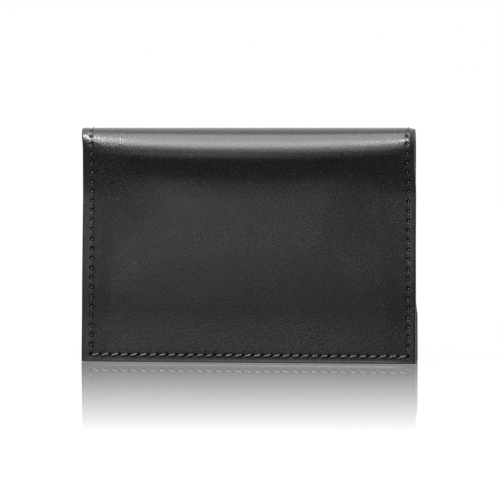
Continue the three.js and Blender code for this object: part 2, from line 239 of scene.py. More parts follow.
def outer_path(x, s):
    """Place (y, z) on the back half's outer face, s up from its foot, and the rise of its outward normal."""
    radius, lean, hollow_z, _ = roll_sizes(x)
    s = own_way(x, s)
    beta = np.clip((s - hollow_z) / HOLLOW_RADIUS, 0.0, lean)
    roll_start = hollow_z + HOLLOW_RADIUS * lean
    phi = np.maximum(s - roll_start, 0.0) / radius - lean
    on_roll = s > roll_start
    hollow_y = -(HALF_DEPTH + HOLLOW_RADIUS) + HOLLOW_RADIUS * np.cos(beta)
    hollow_place_z = np.where(s < hollow_z, s, hollow_z + HOLLOW_RADIUS * np.sin(beta))
    y = np.where(on_roll, -radius * np.cos(phi), hollow_y)
    z = np.where(on_roll, HEIGHT - radius + radius * np.sin(phi), hollow_place_z)
    return y, z, np.where(on_roll, phi, -beta)


def lining_path(x, s):
    """Place (y, z) on the back half's lining face, and the rise of the normal that points into the case."""
    phi = np.maximum(s - ARCH_Z, 0.0) / LINING_FACE
    y = -LINING_FACE * np.cos(phi)
    z = np.where(s < ARCH_Z, s, ARCH_Z + LINING_FACE * np.sin(phi))
    return y, z, -phi


def to_hole(along, pitch):
    """Distance along a seam to its nearest stitch hole."""
    turns = along / pitch
    return (turns - np.round(turns)) * pitch


def stitch_hole(along, across, size):
    """A hole that the thread has pulled into a pit, with the leather drawn in softly round it."""
    depth, long, wide = size
    draw, draw_long, draw_wide = HOLE_DRAW
    pit = depth * bell(np.square(along / long) + np.square(across / wide))
    return pit + draw * bell(along / draw_long) * bell(across / draw_wide)


def seam_places(x, s):
    """Distances from the side seams and the foot seam, and how much of each seam there is at a place."""
    to_side = np.abs(x - SEAM_SHIFT) - SEAM_X
    to_foot = s - SEAM_Z
    side = smooth((to_foot + SEAM_OVERRUN) / SEAM_FADE)
    foot = smooth((SEAM_OVERRUN - to_side) / SEAM_FADE)
    return to_side, to_foot, side, foot


def seam_holes(x, s, side_pitch):
    """How deep the stitch holes are."""
    to_side, to_foot, side, foot = seam_places(x, s)
    side_holes = side * stitch_hole(to_hole(to_foot, side_pitch), to_side, SIDE_HOLE)
    foot_holes = foot * stitch_hole(to_hole(x - SEAM_SHIFT + SEAM_X, FOOT_PITCH), to_foot, FOOT_HOLE)
    return np.maximum(side_holes, foot_holes)


def seam_relief(x, s, side_pitch):
    """How far the sewn grooves and their holes lie below the leather's face.

    The side groove lies under its stitches, the foot groove just below them, running out at the corners.
    """
    to_side, to_foot, side, _ = seam_places(x, s)
    beside = SIDE_GROOVE * side * bell(to_side / SIDE_GROOVE_WIDTH)
    trough = FOOT_GROOVE * bell((to_foot + FOOT_GROOVE_DROP) / FOOT_GROOVE_WIDTH)
    run_out = smooth((SEAM_INSET - SEAM_SHIFT - GROOVE_STOP - to_side) / GROOVE_END)
    return -np.maximum(beside, run_out * trough) - seam_holes(x, s, side_pitch)


def press(x, s):
    """How far the sewn ends of the fold are pressed into the case, leather and lining together.

    The pinch hollows the cover below the roll, the draw makes the roll tighter and the droop rounds its ends.
    """
    from_end = HALF_WIDTH - np.abs(x)
    pinch = (1.0 - smooth(from_end / PINCH_REACH)) * band(s, *PINCH_BAND)
    draw = (1.0 - smooth(from_end / DRAW_REACH)) * band(s, *DRAW_BAND)
    droop = np.square(np.clip(1.0 - from_end / DROOP_REACH, 0.0, 1.0)) * band(s, *DROOP_BAND)
    end_share = np.where(x < 0, 1.0, RIGHT_END_SHARE)
    return END_PINCH * pinch + end_share * (END_DRAW * draw + END_DROOP * droop)


def hollow_ease(x, s):
    """Rounds the line where the flat cover turns into its hollow, and lets the hollow reach a little deeper.

    The hollow's curve comes in evenly over the ease on both sides of the line, so the rise is made of cubics.
    """
    from_line = own_way(x, s) - roll_sizes(x)[2]
    inside = np.clip(HOLLOW_EASE - np.abs(from_line), 0.0, None)
    part = np.power(inside, 3) / (12.0 * HOLLOW_EASE * HOLLOW_RADIUS)
    whole = np.square(HOLLOW_EASE) / (6.0 * HOLLOW_RADIUS)
    rise = np.where(from_line < 0.0, part, whole - part)
    dent = HOLLOW_DENT * (1.0 - np.square(x / HALF_WIDTH)) * bell((s - DENT_WAY) / DENT_REACH)
    return rise * (1.0 - smooth((s - EASE_WAY) / EASE_FADE)) - dent


def back_form(x, s):
    """The soft shape of a cover: puffed between its seams, spread at the foot, drawn in at the fold's ends."""
    from_end = HALF_WIDTH - np.abs(x)
    puff = PILLOW * smooth((from_end - SEAM_INSET) / PILLOW_REACH) * smooth((PILLOW_WAY - s) / PILLOW_FADE)
    bulge = BOW * smooth(from_end / BOW_REACH) + SIDE_BOW * (1.0 - np.square(x / HALF_WIDTH))
    bow = bulge * bell((s - BOW_WAY) / BOW_REACH)
    foot = FOOT_SPREAD * (1.0 - smooth((s - SPREAD_WAY) / SPREAD_FADE))
    bead = BEAD * bell((s - BEAD_WAY) / BEAD_REACH)
    dip = CORNER_DIP * (1.0 - smooth(from_end / CORNER_REACH)) * smooth((s - CORNER_WAY) / CORNER_FADE)
    return puff + bow + hollow_ease(x, s) + foot + bead - np.where(x < 0, 0.0, dip)


def front_form(x, s):
    """The front cover, which the press stud's cap draws in."""
    reach = np.hypot(x, s - SNAP_Z)
    drawn = smooth((CAP_RADIUS + CAP_DRAW_REACH - reach) / CAP_DRAW_REACH)
    return (1.0 - drawn) * back_form(x, s) - CAP_DRAW * drawn


def lining_form(x, s):
    """The lining lies flat."""
    return np.zeros_like(s)


SIDE_PITCH = (OUTER_WAY - SEAM_Z) / SIDE_STITCHES
LINING_PITCH = (LINING_WAY - SEAM_Z) / SIDE_STITCHES


def outer_seam(x, s):
    """Relief of the outer leather's seams."""
    return seam_relief(x, s, SIDE_PITCH)


def lining_seam(x, s):
    """Relief of the lining's seams."""
    return seam_relief(x, s, LINING_PITCH)


def edge_drift(x, z, front):
    """How far a hand-cut side edge strays outwards at a height. The front cover's foot sits a little askew."""
    flare = np.where(x < 0, LEFT_FLARE, RIGHT_FLARE) * np.power(np.clip(1.0 - z / HEIGHT, 0.0, 1.0), FLARE_POWER)
    top = TOP_FLARE * smooth((z - ARCH_Z) / HALF_DEPTH)
    lean = (0.0 if front else RIGHT_LEAN) * smooth((ARCH_Z - z) / LEAN_REACH)
    drift = flare + np.where(x < 0, top, lean)
    if front:
        askew = np.where(x < 0, FRONT_LEFT_FLARE, FRONT_FLARE)
        drift = drift + askew * smooth((FRONT_FLARE_HEIGHT - z) / FRONT_FLARE_FADE)
    return np.sign(x) * drift * np.power(np.abs(x) / HALF_WIDTH, DRIFT_POWER)


def corner_turn(x, z, through):
    """The back cover's right foot corner is turned a little, so that its cut edge shows from the front.

    Through is how deep a place lies below the outer face, in leather and lining together.
    """
    low = smooth((TURN_HEIGHT - z) / TURN_FADE) * np.power(np.clip(x / HALF_WIDTH, 0.0, None), TURN_POWER)
    return CORNER_TURN * (through - TURN_DEPTH) * low


def sheet_place(path, form, seam, turned, front):
    """A function of x, s and depth that gives points on a sheet; turned sheets face into the case.

    Share fades the whole relief out, and sewn fades the seam alone out, for thread that lies on the leather.
    """
    facing = -1.0 if turned else 1.0

    def place(x, s, depth, share=1.0, sewn=1.0):
        y, z, rise = path(x, s)
        out = (form(x, s) + seam(x, s) * sewn) * share - depth - facing * press(x, s)
        y = y - facing * out * np.cos(rise)
        z = z + out * np.sin(rise)
        drift = edge_drift(x, z, front)
        if not front:
            through = OUTER_THICKNESS + LINING_THICKNESS - depth if turned else depth
            drift = drift + corner_turn(x, z, through)
        return np.stack([x + drift, y, z], axis=-1)
    return place


def seam_lines(first, pitch, count, end):
    """Grid lines along a seam: some across each hole and some along each stitch, up to end."""
    lines = []
    for k in range(count + 1):
        lines += [first + k * pitch + h for h in HOLE_LINES]
        lines += [first + k * pitch + share * pitch for share in STITCH_LINES]
    return [v for v in lines if v < end - LINE_GAP] + [end]


def grid_lines(way, side_pitch):
    """Columns and rows of a sewn sheet, inside its rounded edge."""
    edge = HALF_WIDTH - EDGE_RADIUS
    first, last = SEAM_SHIFT - SEAM_X, SEAM_SHIFT + SEAM_X
    columns = np.arange(-edge, first - HOLE_REACH, EDGE_STEP).tolist()
    columns += seam_lines(first, FOOT_PITCH, FOOT_STITCHES, last + HOLE_REACH)
    columns += np.arange(edge, last + HOLE_REACH + LINE_GAP, -EDGE_STEP).tolist()[::-1]
    rows = [EDGE_RADIUS, *BORDER_ROWS] + seam_lines(SEAM_Z, side_pitch, SIDE_STITCHES, way)
    return np.array(columns), np.array(rows)


def edge_rings(thickness):
    """Steps (outwards, down) that carry a sheet's face round its edge to its back."""
    turns = [math.radians(a) for a in EDGE_TURNS]
    rings = [(EDGE_RADIUS * math.sin(a), EDGE_RADIUS * (1.0 - math.cos(a))) for a in turns]
    return rings + [(EDGE_RADIUS - inwards, thickness - above) for inwards, above in BACK_ROUND]


def border_of(columns, rows, closed):
    """Grid places round a sheet's edge, with the way outwards at each.

    They run down the left side, along the foot and up the right side, and along the top of a closed sheet.
    """
    last_column, last_row = len(columns) - 1, len(rows) - 1
    corner = EDGE_CORNER
    border = [(0, j, -1.0, 0.0) for j in range(last_row, 0, -1)] + [(0, 0, -corner, -corner)]
    border += [(i, 0, 0.0, -1.0) for i in range(1, last_column)] + [(last_column, 0, corner, -corner)]
    border += [(last_column, j, 1.0, 0.0) for j in range(1, last_row + 1)]
    if closed:
        border[0] = (0, last_row, -corner, corner)
        border[-1] = (last_column, last_row, corner, corner)
        border += [(i, last_row, 0.0, 1.0) for i in range(last_column - 1, 0, -1)]
    return border


def sheet_mesh(name, columns, rows, place, thickness, mirrored=False, closed=False):
    """A closed leather sheet: a finely divided face, a rounded edge and a coarser back.

    An open sheet ends in a flat cut at its last row, where it meets its other half.
    """
    points, faces = [], []
    wide, tall = len(columns), len(rows)
    x, s = np.meshgrid(columns, rows)
    points.extend(place(x.ravel(), s.ravel(), 0.0))
    for j in range(tall - 1):
        for i in range(wide - 1):
            low = j * wide + i
            faces.append((low, low + 1, low + wide + 1, low + wide))

    border = border_of(columns, rows, closed)
    bx = np.array([columns[b[0]] for b in border])
    bs = np.array([rows[b[1]] for b in border])
    out_x = np.array([b[2] for b in border])
    out_s = np.array([b[3] for b in border])
    before = [b[1] * wide + b[0] for b in border]
    spans = len(border) if closed else len(border) - 1
    outer_ends = [(before[0], before[-1])]
    for out, depth in edge_rings(thickness):
        start = len(points)
        share = max(0.0, 1.0 - depth / thickness)
        points.extend(place(bx + out_x * out, bs + out_s * out, depth, share))
        now = list(range(start, start + len(border)))
        for k in range(spans):
            n = (k + 1) % len(border)
            faces.append((before[k], before[n], now[n], now[k]))
        outer_ends.append((now[0], now[-1]))
        before = now

    on_border = {(b[0], b[1]): before[k] for k, b in enumerate(border)}
    back_columns = sorted({*range(0, wide, BACK_STEPS[0]), wide - 1})
    back_rows = sorted({*range(0, tall, BACK_STEPS[1]), tall - 1})
    back = {}
    for j in back_rows:
        for i in back_columns:
            if (i, j) in on_border:
                back[i, j] = on_border[i, j]
            else:
                back[i, j] = len(points)
                points.extend(place(np.array([columns[i]]), np.array([rows[j]]), thickness, 0.0))

    def run(fixed, low, high, along_row):
        """Border places between two back places, so that the back meets every one of them."""
        steps = range(low + 1, high) if high > low else range(low - 1, high, -1)
        keys = [(k, fixed) if along_row else (fixed, k) for k in steps]
        return [on_border[k] for k in keys if k in on_border]

    for j, above in zip(back_rows, back_rows[1:]):
        for i, right in zip(back_columns, back_columns[1:]):
            ring = [back[i, j]] + (run(i, j, above, False) if i == 0 else []) + [back[i, above]]
            ring += run(above, i, right, True) if closed and above == tall - 1 else []
            ring += [back[right, above]] + (run(right, above, j, False) if right == wide - 1 else [])
            ring += [back[right, j]] + (run(j, right, i, True) if j == 0 else [])
            faces.append(tuple(ring))

    if not closed:
        top = [(tall - 1) * wide + i for i in range(wide)]
        cut = top + [e[1] for e in outer_ends[1:]]
        cut += [back[i, tall - 1] for i in reversed(back_columns[1:-1])]
        cut += [e[0] for e in reversed(outer_ends[1:])]
        faces.append(tuple(cut))
    return finish_mesh(name, np.array(points), faces, mirrored)


def finish_mesh(name, points, faces, mirrored=False, sharp=60.0):
    """An object from points in millimetres, its faces turned outwards and shaded smooth up to an angle."""
    if mirrored:
        points = points * np.array([1.0, -1.0, 1.0])
    mesh = bpy.data.meshes.new(name)
    mesh.from_pydata((points * MM).tolist(), [], faces)
    shape = bmesh.new()
    shape.from_mesh(mesh)
    bmesh.ops.recalc_face_normals(shape, faces=shape.faces)
    shape.to_mesh(mesh)
    shape.free()
    mesh.shade_smooth()
    mesh.set_sharp_from_angle(angle=math.radians(sharp))
    piece = bpy.data.objects.new(name, mesh)
    bpy.context.scene.collection.objects.link(piece)
    return piece


# Sewing thread

TUBE_SIDES = 8


def tube(points, faces, line, normals, radius):
    """Adds a closed tube round a line of points."""
    along = np.gradient(line, axis=0)
    along /= np.linalg.norm(along, axis=1)[:, None]
    side = np.cross(along, normals)
    side /= np.linalg.norm(side, axis=1)[:, None]
    up = np.cross(side, along)
    start = len(points)
    for c, b, u in zip(line, side, up):
        for k in range(TUBE_SIDES):
            a = 2 * math.pi * k / TUBE_SIDES
            points.append(c + radius * (math.cos(a) * b + math.sin(a) * u))
    for step in range(len(line) - 1):
        for k in range(TUBE_SIDES):
            n = (k + 1) % TUBE_SIDES
            low = start + step * TUBE_SIDES
            faces.append((low + k, low + n, low + TUBE_SIDES + n, low + TUBE_SIDES + k))
    faces.append(tuple(start + k for k in reversed(range(TUBE_SIDES))))
    last = start + (len(line) - 1) * TUBE_SIDES
    faces.append(tuple(last + k for k in range(TUBE_SIDES)))


def stitch_lines(side_pitch):
    """The line of each stitch as x, s and height over the leather, with the thread's radius.

    A foot stitch lies open on a slant. A side stitch is pulled tight and shows only as it leaves its hole.
    """
    shares, heights = np.array(FOOT_SHARES), np.array(FOOT_HEIGHTS)
    for k in range(FOOT_STITCHES):
        sway = math.sin(FOOT_SWAY_STEP * k)
        x = SEAM_SHIFT - SEAM_X + (k + shares) * FOOT_PITCH
        s = SEAM_Z + STITCH_SLANT * (1.0 + FOOT_SWAY_SLANT * sway) * (2.0 * shares - 1.0)
        yield x, s, heights + FOOT_SWAY_HEIGHT * sway, FOOT_THREAD
    drops, heights = np.array(SIDE_DROPS), np.array(SIDE_HEIGHTS)
    for k in range(1, SIDE_STITCHES + 1):
        for side in (-1.0, 1.0):
            sway = math.sin(SIDE_SWAY_STEP * k + side)
            x = SEAM_SHIFT + side * SEAM_X + SIDE_THREAD_SHIFT + SIDE_SWAY_X * sway
            s = SEAM_Z + k * side_pitch - drops
            yield np.full_like(s, x), s, heights + SIDE_SWAY_HEIGHT * sway, SIDE_THREAD


def stitches(name, place, side_pitch, mirrored=False, lift=None):
    """Every stitch that shows on one face: each rises from its hole and dips into the leather again."""
    points, faces = [], []
    for x, s, height, radius in stitch_lines(side_pitch):
        if lift is not None:
            height = height + lift(x, s)
        line = place(x, s, -height, sewn=0.0)
        normals = place(x, s, -height - 1.0, sewn=0.0) - line
        tube(points, faces, line, normals, radius)
    return finish_mesh(name, np.array(points), faces, mirrored)


# Materials. Scales are in waves per metre, heights in metres

NOISE_LOW = 0.3
NOISE_HIGH = 0.7


def node_tools(tree):
    """Two helpers for a node tree: one adds a node with its inputs and settings, the other links sockets."""
    def add(kind, inputs=(), **settings):
        node = tree.nodes.new(kind)
        for key, value in settings.items():
            setattr(node, key, value)
        for key, value in dict(inputs).items():
            if isinstance(value, bpy.types.NodeSocket):
                tree.links.new(value, node.inputs[key])
            else:
                node.inputs[key].default_value = value
        return node

    def link(source, target):
        tree.links.new(source, target)

    return add, link


def material(name):
    """A new node material, its Principled shader and the helpers for its nodes."""
    made = bpy.data.materials.new(name)
    made.use_nodes = True
    return made, made.node_tree.nodes["Principled BSDF"], *node_tools(made.node_tree)


def colour_ramp(add, factor, dark, light, low=NOISE_LOW, high=NOISE_HIGH):
    """A colour that runs from dark to light as factor goes from low to high."""
    ramp = add("ShaderNodeValToRGB", {"Fac": factor})
    ramp.color_ramp.elements[0].position = low
    ramp.color_ramp.elements[1].position = high
    ramp.color_ramp.elements[0].color = (*dark, 1.0)
    ramp.color_ramp.elements[1].color = (*light, 1.0)
    return ramp.outputs["Color"]


def ranged(add, value, start, end, low=0.0, high=1.0):
    """A number that runs from low to high as value goes from start to end, and stays there."""
    node = add("ShaderNodeMapRange", {"Value": value, "From Min": start, "From Max": end,
                                      "To Min": low, "To Max": high})
    return node.outputs["Result"]


def spread(add, value, low, high):
    """A number that runs from low to high over the range that a noise mostly takes."""
    return ranged(add, value, NOISE_LOW, NOISE_HIGH, low, high)


def maths(add, operation, *values):
    """The result of an operation on numbers or sockets."""
    return add("ShaderNodeMath", dict(enumerate(values)), operation=operation).outputs["Value"]


# Creases: the grain is stronger at the fold's left end, and weaker again on its roll. Places are in millimetres
CREASE_X = -45.0
CREASE_REACH = 12.0
CREASE_FOOT = 50.0
CREASE_FULL = 61.0
CREASE_STRENGTH = (0.12, 0.95)
ROLL_FOOT = 63.5
ROLL_FULL = 69.0
ROLL_SHARE = 0.26

# Leather: warped cells with finer grain and wrinkles, a dye that is cloudy and speckled, and an uneven polish.
# The fine grain and the pores are that much finer than the cells
WARP_SCALE = 900.0
WARP = 0.0007
CELL_SOFTNESS = 0.6
FINE_SCALE = 2.7
FINE_SHARE = 0.5
WRINKLE_SCALE = 1000.0
WRINKLE_SHARE = 0.9
CLOUD_SCALE = 55.0
POLISH_SCALE = 240.0
PORE_SCALE = 1.7
PORES_IN_DYE = 0.85
PORES_IN_POLISH = 0.6
DYE_SPAN = (0.53, 0.69)
COAT_ROUGHNESS = 0.24


def crease_strength(add, place):
    """How strong the grain is at a place."""
    spot = add("ShaderNodeSeparateXYZ", {"Vector": place})
    off_crease = maths(add, "ABSOLUTE", maths(add, "SUBTRACT", spot.outputs["X"], CREASE_X * MM))
    at_end = ranged(add, off_crease, CREASE_REACH * MM, 0.0)
    at_fold = ranged(add, spot.outputs["Z"], CREASE_FOOT * MM, CREASE_FULL * MM)
    on_roll = ranged(add, spot.outputs["Z"], ROLL_FOOT * MM, ROLL_FULL * MM, 1.0, ROLL_SHARE)
    creased = maths(add, "MULTIPLY", at_end, maths(add, "MULTIPLY", at_fold, on_roll))
    return ranged(add, creased, 0.0, 1.0, *CREASE_STRENGTH)


def leather_height(add, place, grain):
    """Warped cells, finer grain and coarser wrinkles, as one height."""
    drift = add("ShaderNodeTexNoise", {"Vector": place, "Scale": WARP_SCALE, "Detail": 3.0})
    shifted = add("ShaderNodeVectorMath", {0: drift.outputs["Color"], "Scale": WARP}, operation="SCALE")
    warped = add("ShaderNodeVectorMath", {0: place, 1: shifted.outputs["Vector"]}, operation="ADD")
    cells = add("ShaderNodeTexVoronoi", {"Vector": warped.outputs["Vector"], "Scale": grain,
                                         "Smoothness": CELL_SOFTNESS}, feature="SMOOTH_F1")
    fine = add("ShaderNodeTexNoise", {"Vector": place, "Scale": grain * FINE_SCALE, "Detail": 3.0})
    wrinkles = add("ShaderNodeTexNoise", {"Vector": place, "Scale": WRINKLE_SCALE, "Detail": 2.0})
    grains = maths(add, "MULTIPLY_ADD", fine.outputs["Fac"], FINE_SHARE, cells.outputs["Distance"])
    return maths(add, "MULTIPLY_ADD", wrinkles.outputs["Fac"], WRINKLE_SHARE, grains)


def leather(name, dark, light, rough, grain, grain_height, specular, coat):
    """Dyed leather: a cloudy, speckled dye, a finish that is uneven in its gloss, and fine grain."""
    made, shader, add, link = material(name)
    place = add("ShaderNodeTexCoord").outputs["Object"]
    cloud = add("ShaderNodeTexNoise", {"Vector": place, "Scale": CLOUD_SCALE, "Detail": 5.0, "Roughness": 0.6})
    polish = add("ShaderNodeTexNoise", {"Vector": place, "Scale": POLISH_SCALE, "Detail": 4.0, "Roughness": 0.55})
    pores = add("ShaderNodeTexNoise", {"Vector": place, "Scale": grain * PORE_SCALE, "Detail": 2.0})
    dyed = add("ShaderNodeMix", {"Factor": PORES_IN_DYE, "A": cloud.outputs["Fac"], "B": pores.outputs["Fac"]})
    speckled = add("ShaderNodeMix", {"Factor": PORES_IN_POLISH, "A": polish.outputs["Fac"],
                                     "B": pores.outputs["Fac"]})
    relief = add("ShaderNodeBump", {"Height": leather_height(add, place, grain),
                                    "Strength": crease_strength(add, place), "Distance": grain_height})
    link(colour_ramp(add, dyed.outputs["Result"], dark, light, *DYE_SPAN), shader.inputs["Base Color"])
    link(spread(add, speckled.outputs["Result"], *rough), shader.inputs["Roughness"])
    link(relief.outputs["Normal"], shader.inputs["Normal"])
    link(relief.outputs["Normal"], shader.inputs["Coat Normal"])
    shader.inputs["Specular IOR Level"].default_value = specular
    shader.inputs["Coat Weight"].default_value = coat
    shader.inputs["Coat Roughness"].default_value = COAT_ROUGHNESS
    return made


def thread_material():
    """Waxed thread: twisted strands with a dull shine."""
    made, shader, add, link = material("waxed_thread")
    place = add("ShaderNodeTexCoord").outputs["Object"]
    twist = add("ShaderNodeTexWave", {"Vector": place, "Scale": 900.0, "Distortion": 2.5, "Detail": 2.0},
                bands_direction="DIAGONAL")
    relief = add("ShaderNodeBump", {"Height": twist.outputs["Fac"], "Strength": 0.4, "Distance": 0.00008})
    colour = colour_ramp(add, twist.outputs["Fac"], (0.05, 0.05, 0.051), (0.1, 0.1, 0.101))
    link(colour, shader.inputs["Base Color"])
    link(spread(add, twist.outputs["Fac"], 0.24, 0.36), shader.inputs["Roughness"])
    link(relief.outputs["Normal"], shader.inputs["Normal"])
    shader.inputs["Coat Weight"].default_value = 0.8
    shader.inputs["Coat Roughness"].default_value = 0.18
    return made


def cut_leather(name, dark, light, rough, specular):
    """Leather without its finish: the dull fibres in a stitch hole, made near black to paint the hole's shade, or
    a dyed and burnished edge.
    """
    made, shader, add, link = material(name)
    place = add("ShaderNodeTexCoord").outputs["Object"]
    fibres = add("ShaderNodeTexNoise", {"Vector": place, "Scale": 4000.0, "Detail": 3.0})
    link(colour_ramp(add, fibres.outputs["Fac"], (dark, dark, dark), (light, light, light)),
         shader.inputs["Base Color"])
    link(spread(add, fibres.outputs["Fac"], *rough), shader.inputs["Roughness"])
    shader.inputs["Specular IOR Level"].default_value = specular
    return made


def metal(name, dark, light, rough, stretch):
    """Plated metal: a soft cloudiness and fine polishing marks along one way."""
    made, shader, add, link = material(name)
    place = add("ShaderNodeTexCoord").outputs["Object"]
    drawn = add("ShaderNodeMapping", {"Vector": place, "Scale": stretch})
    marks = add("ShaderNodeTexNoise", {"Vector": drawn.outputs["Vector"], "Scale": 900.0, "Detail": 4.0})
    cloud = add("ShaderNodeTexNoise", {"Vector": place, "Scale": 160.0, "Detail": 3.0})
    relief = add("ShaderNodeBump", {"Height": marks.outputs["Fac"], "Strength": 0.08, "Distance": 0.00003})
    link(colour_ramp(add, cloud.outputs["Fac"], dark, light), shader.inputs["Base Color"])
    link(spread(add, marks.outputs["Fac"], *rough), shader.inputs["Roughness"])
    link(relief.outputs["Normal"], shader.inputs["Normal"])
    shader.inputs["Metallic"].default_value = 1.0
    return made


OUTER_LEATHER = leather("black_leather", dark=(0.0005, 0.0005, 0.0006), light=(0.042, 0.0415, 0.042),
                        rough=(0.28, 0.42), grain=1900.0, grain_height=0.00018, specular=0.5, coat=0.8)
LINING_LEATHER = leather("lining_leather", dark=(0.018, 0.017, 0.017), light=(0.040, 0.037, 0.037),
                         rough=(0.5, 0.62), grain=2200.0, grain_height=0.00012, specular=0.4, coat=0.0)
# The raw leather's near-black colour is dull fibres and also painted shade in the stitch holes
RAW_LEATHER_AND_PIT_SHADE = cut_leather("raw_leather_and_pit_shade", dark=0.001, light=0.006, rough=(0.8, 0.95), specular=0.1)
EDGE_LEATHER = cut_leather("burnished_edge", dark=0.01, light=0.024, rough=(0.42, 0.55), specular=0.45)
THREAD = thread_material()
NICKEL = metal("polished_nickel", dark=(0.72, 0.71, 0.69), light=(0.82, 0.81, 0.79),
               rough=(0.14, 0.24), stretch=(1.0, 1.0, 0.15))
SPRING_STEEL = metal("spring_steel", dark=(0.62, 0.63, 0.64), light=(0.73, 0.74, 0.75),
                     rough=(0.22, 0.34), stretch=(1.0, 1.0, 0.08))


def dress(piece, finish):
    """Gives a piece its finish."""
    piece.data.materials.clear()
    piece.data.materials.append(finish)


def bare_cuts_and_pit_shade(piece, columns, rows, side_pitch):
    """Gives the stitch holes of a sheet the look of raw leather, near black so that it also paints their shade,
    and its cut edge a burnished one.

    A sheet's faces are those of its grid, then the rings round its edge. The first ring still belongs to the face.
    """
    piece.data.materials.append(RAW_LEATHER_AND_PIT_SHADE)
    piece.data.materials.append(EDGE_LEATHER)
    depth = seam_holes(*np.meshgrid(columns, rows), side_pitch)
    middle = (depth[1:, 1:] + depth[1:, :-1] + depth[:-1, 1:] + depth[:-1, :-1]) / 4.0
    # The deeper faces of each hole get the near-black raw leather: painted shade in the pit
    for k in np.flatnonzero(middle > RAW_AND_SHADE_DEPTH).tolist():
        piece.data.polygons[k].material_index = 1
    ring = 2 * len(rows) + len(columns) - 3
    for k in range(middle.size + ring, middle.size + EDGE_RINGS * ring):
        piece.data.polygons[k].material_index = 2


# Leather, lining, pocket and sewing

def bend(piece, front):
    """Bakes the piece's placement into its mesh, the same way for either cover."""
    if front:
        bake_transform(piece)
    else:
        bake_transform(piece)


def make_outer(front):
    """The outer leather of one cover with its half of the fold, and its stitches."""
    name = "front" if front else "back"
    columns, rows = grid_lines(OUTER_WAY, SIDE_PITCH)
    place = sheet_place(outer_path, front_form if front else back_form, outer_seam, False, front)
    hide = sheet_mesh(name + "_cover_leather", columns, rows, place, OUTER_THICKNESS, mirrored=front)
    dress(hide, OUTER_LEATHER)
    bare_cuts_and_pit_shade(hide, columns, rows, SIDE_PITCH)
    sewing = stitches(name + "_outer_stitches", place, SIDE_PITCH, mirrored=front)
    dress(sewing, THREAD)
    for piece in (hide, sewing):
        bend(piece, front)
    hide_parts(name + "_outer_leather", *(["spine_outer_leather"] if front else []))


def pocket_relief(x, s):
    """The pocket's seams, and above them the line creased along its mouth."""
    crease = MOUTH_CREASE * bell((POCKET_HEIGHT - MOUTH_CREASE_DROP - s) / MOUTH_CREASE_WIDTH)
    return np.where(s < POCKET_HEIGHT - MOUTH_ROWS[0], seam_relief(x, s, LINING_PITCH), -crease)


def pocket_place(x, s, depth, share=1.0):
    """Points on the card pocket: rows near its mouth dip round the thumb notch."""
    across = np.clip(np.abs(x) / NOTCH_HALF_WIDTH, 0.0, 1.0)
    high = smooth((s - POCKET_HEIGHT + NOTCH_FADE) / NOTCH_FADE)
    notch = NOTCH_DEPTH * np.square(np.cos(across * math.pi / 2)) * high
    y = -(POCKET_FACE + depth - press(x, s) - pocket_relief(x, s) * share)
    return np.stack([x + edge_drift(x, s, True), y, s - notch], axis=-1)


def make_pocket():
    """The card pocket, sewn on the front lining on three sides."""
    columns, rows = grid_lines(LINING_WAY, LINING_PITCH)
    mouth = [POCKET_HEIGHT - d for d in (*MOUTH_ROWS, EDGE_RADIUS)]
    rows = np.array([r for r in rows if r < mouth[0] - EDGE_STEP] + mouth)
    pocket = sheet_mesh("card_pocket_leather", columns, rows, pocket_place, POCKET_THICKNESS,
                        mirrored=True, closed=True)
    dress(pocket, LINING_LEATHER)
    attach(pocket, "front_cover")
    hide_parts("card_pocket")


def pocket_lift(x, s):
    """Stitches low on the front half lie on the pocket, which is nearer than the lining."""
    return np.where(s < POCKET_HEIGHT, LINING_FACE - POCKET_FACE, 0.0)


def make_lining(front):
    """The lining of one cover with its half of the fold, and its stitches."""
    name = "front" if front else "back"
    columns, rows = grid_lines(LINING_WAY, LINING_PITCH)
    place = sheet_place(lining_path, lining_form, lining_seam, True, front)
    hide = sheet_mesh(name + "_inner_leather", columns, rows, place, LINING_THICKNESS, mirrored=front)
    dress(hide, LINING_LEATHER)
    bare_cuts_and_pit_shade(hide, columns, rows, LINING_PITCH)
    sewing = stitches(name + "_inner_stitches", place, LINING_PITCH, mirrored=front,
                      lift=pocket_lift if front else None)
    dress(sewing, THREAD)
    for piece in (hide, sewing):
        bend(piece, front)
    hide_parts(name + "_lining", *(["spine_lining"] if front else []))


WELD_GAP = 0.002
EASED_EDGE = 0.12
EASED_STEPS = 2
EASED_FROM = math.radians(35)


def dress_metal():
    """The metal solids keep their shape and get eased edges and plated finishes."""
    for name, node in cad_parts.items():
        if "leather" in name or "lining" in name or name == "card_pocket":
            continue
        node.data.materials.clear()
        node.data.materials.append(SPRING_STEEL if name.startswith("hook_gate") else NICKEL)
        for face in node.data.polygons:
            face.use_smooth = True
        weld = node.modifiers.new("weld", "WELD")
        weld.merge_threshold = WELD_GAP * MM
        ease = node.modifiers.new("eased_edges", "BEVEL")
        ease.width = EASED_EDGE * MM
        ease.segments = EASED_STEPS
        ease.limit_method = "ANGLE"
        ease.angle_limit = EASED_FROM
        ease.harden_normals = True


for is_front in (False, True):
    make_outer(is_front)
    make_lining(is_front)
make_pocket()
dress_metal()


# Stage: a white floor that mirrors the case, soft lights and the camera. From here on lengths are in metres,
# apart from how far the floor's mirror reaches and where its glow at the case's foot ends

CAMERA_AZIMUTH = math.radians(6.0)
CAMERA_DISTANCE = 0.960
CAMERA_HEIGHT = 0.075
CAMERA_TARGET = (0.0002, 0.0, 0.036)
CAMERA_LENS = 214.0
CAMERA_SENSOR = 36.0
CAMERA_NEAR = 0.05

FLOOR_SIZE = 4.0
FLOOR_DROP = 0.0001
FLOOR_WHITE = 0.9
FLOOR_ALBEDO = 0.08
WHITER_SPAN = (0.15, 0.5)

# The floor's mirror: its share at the case's foot, how it fades, and how far it reaches in millimetres
MIRROR_START = 0.82
MIRROR_EASE = 1.38
REAR_FADE = 3.0
MIRROR_REACH = 227.0
MIRROR_SIDE = 64.0
MIRROR_SIDE_FADE = 26.0

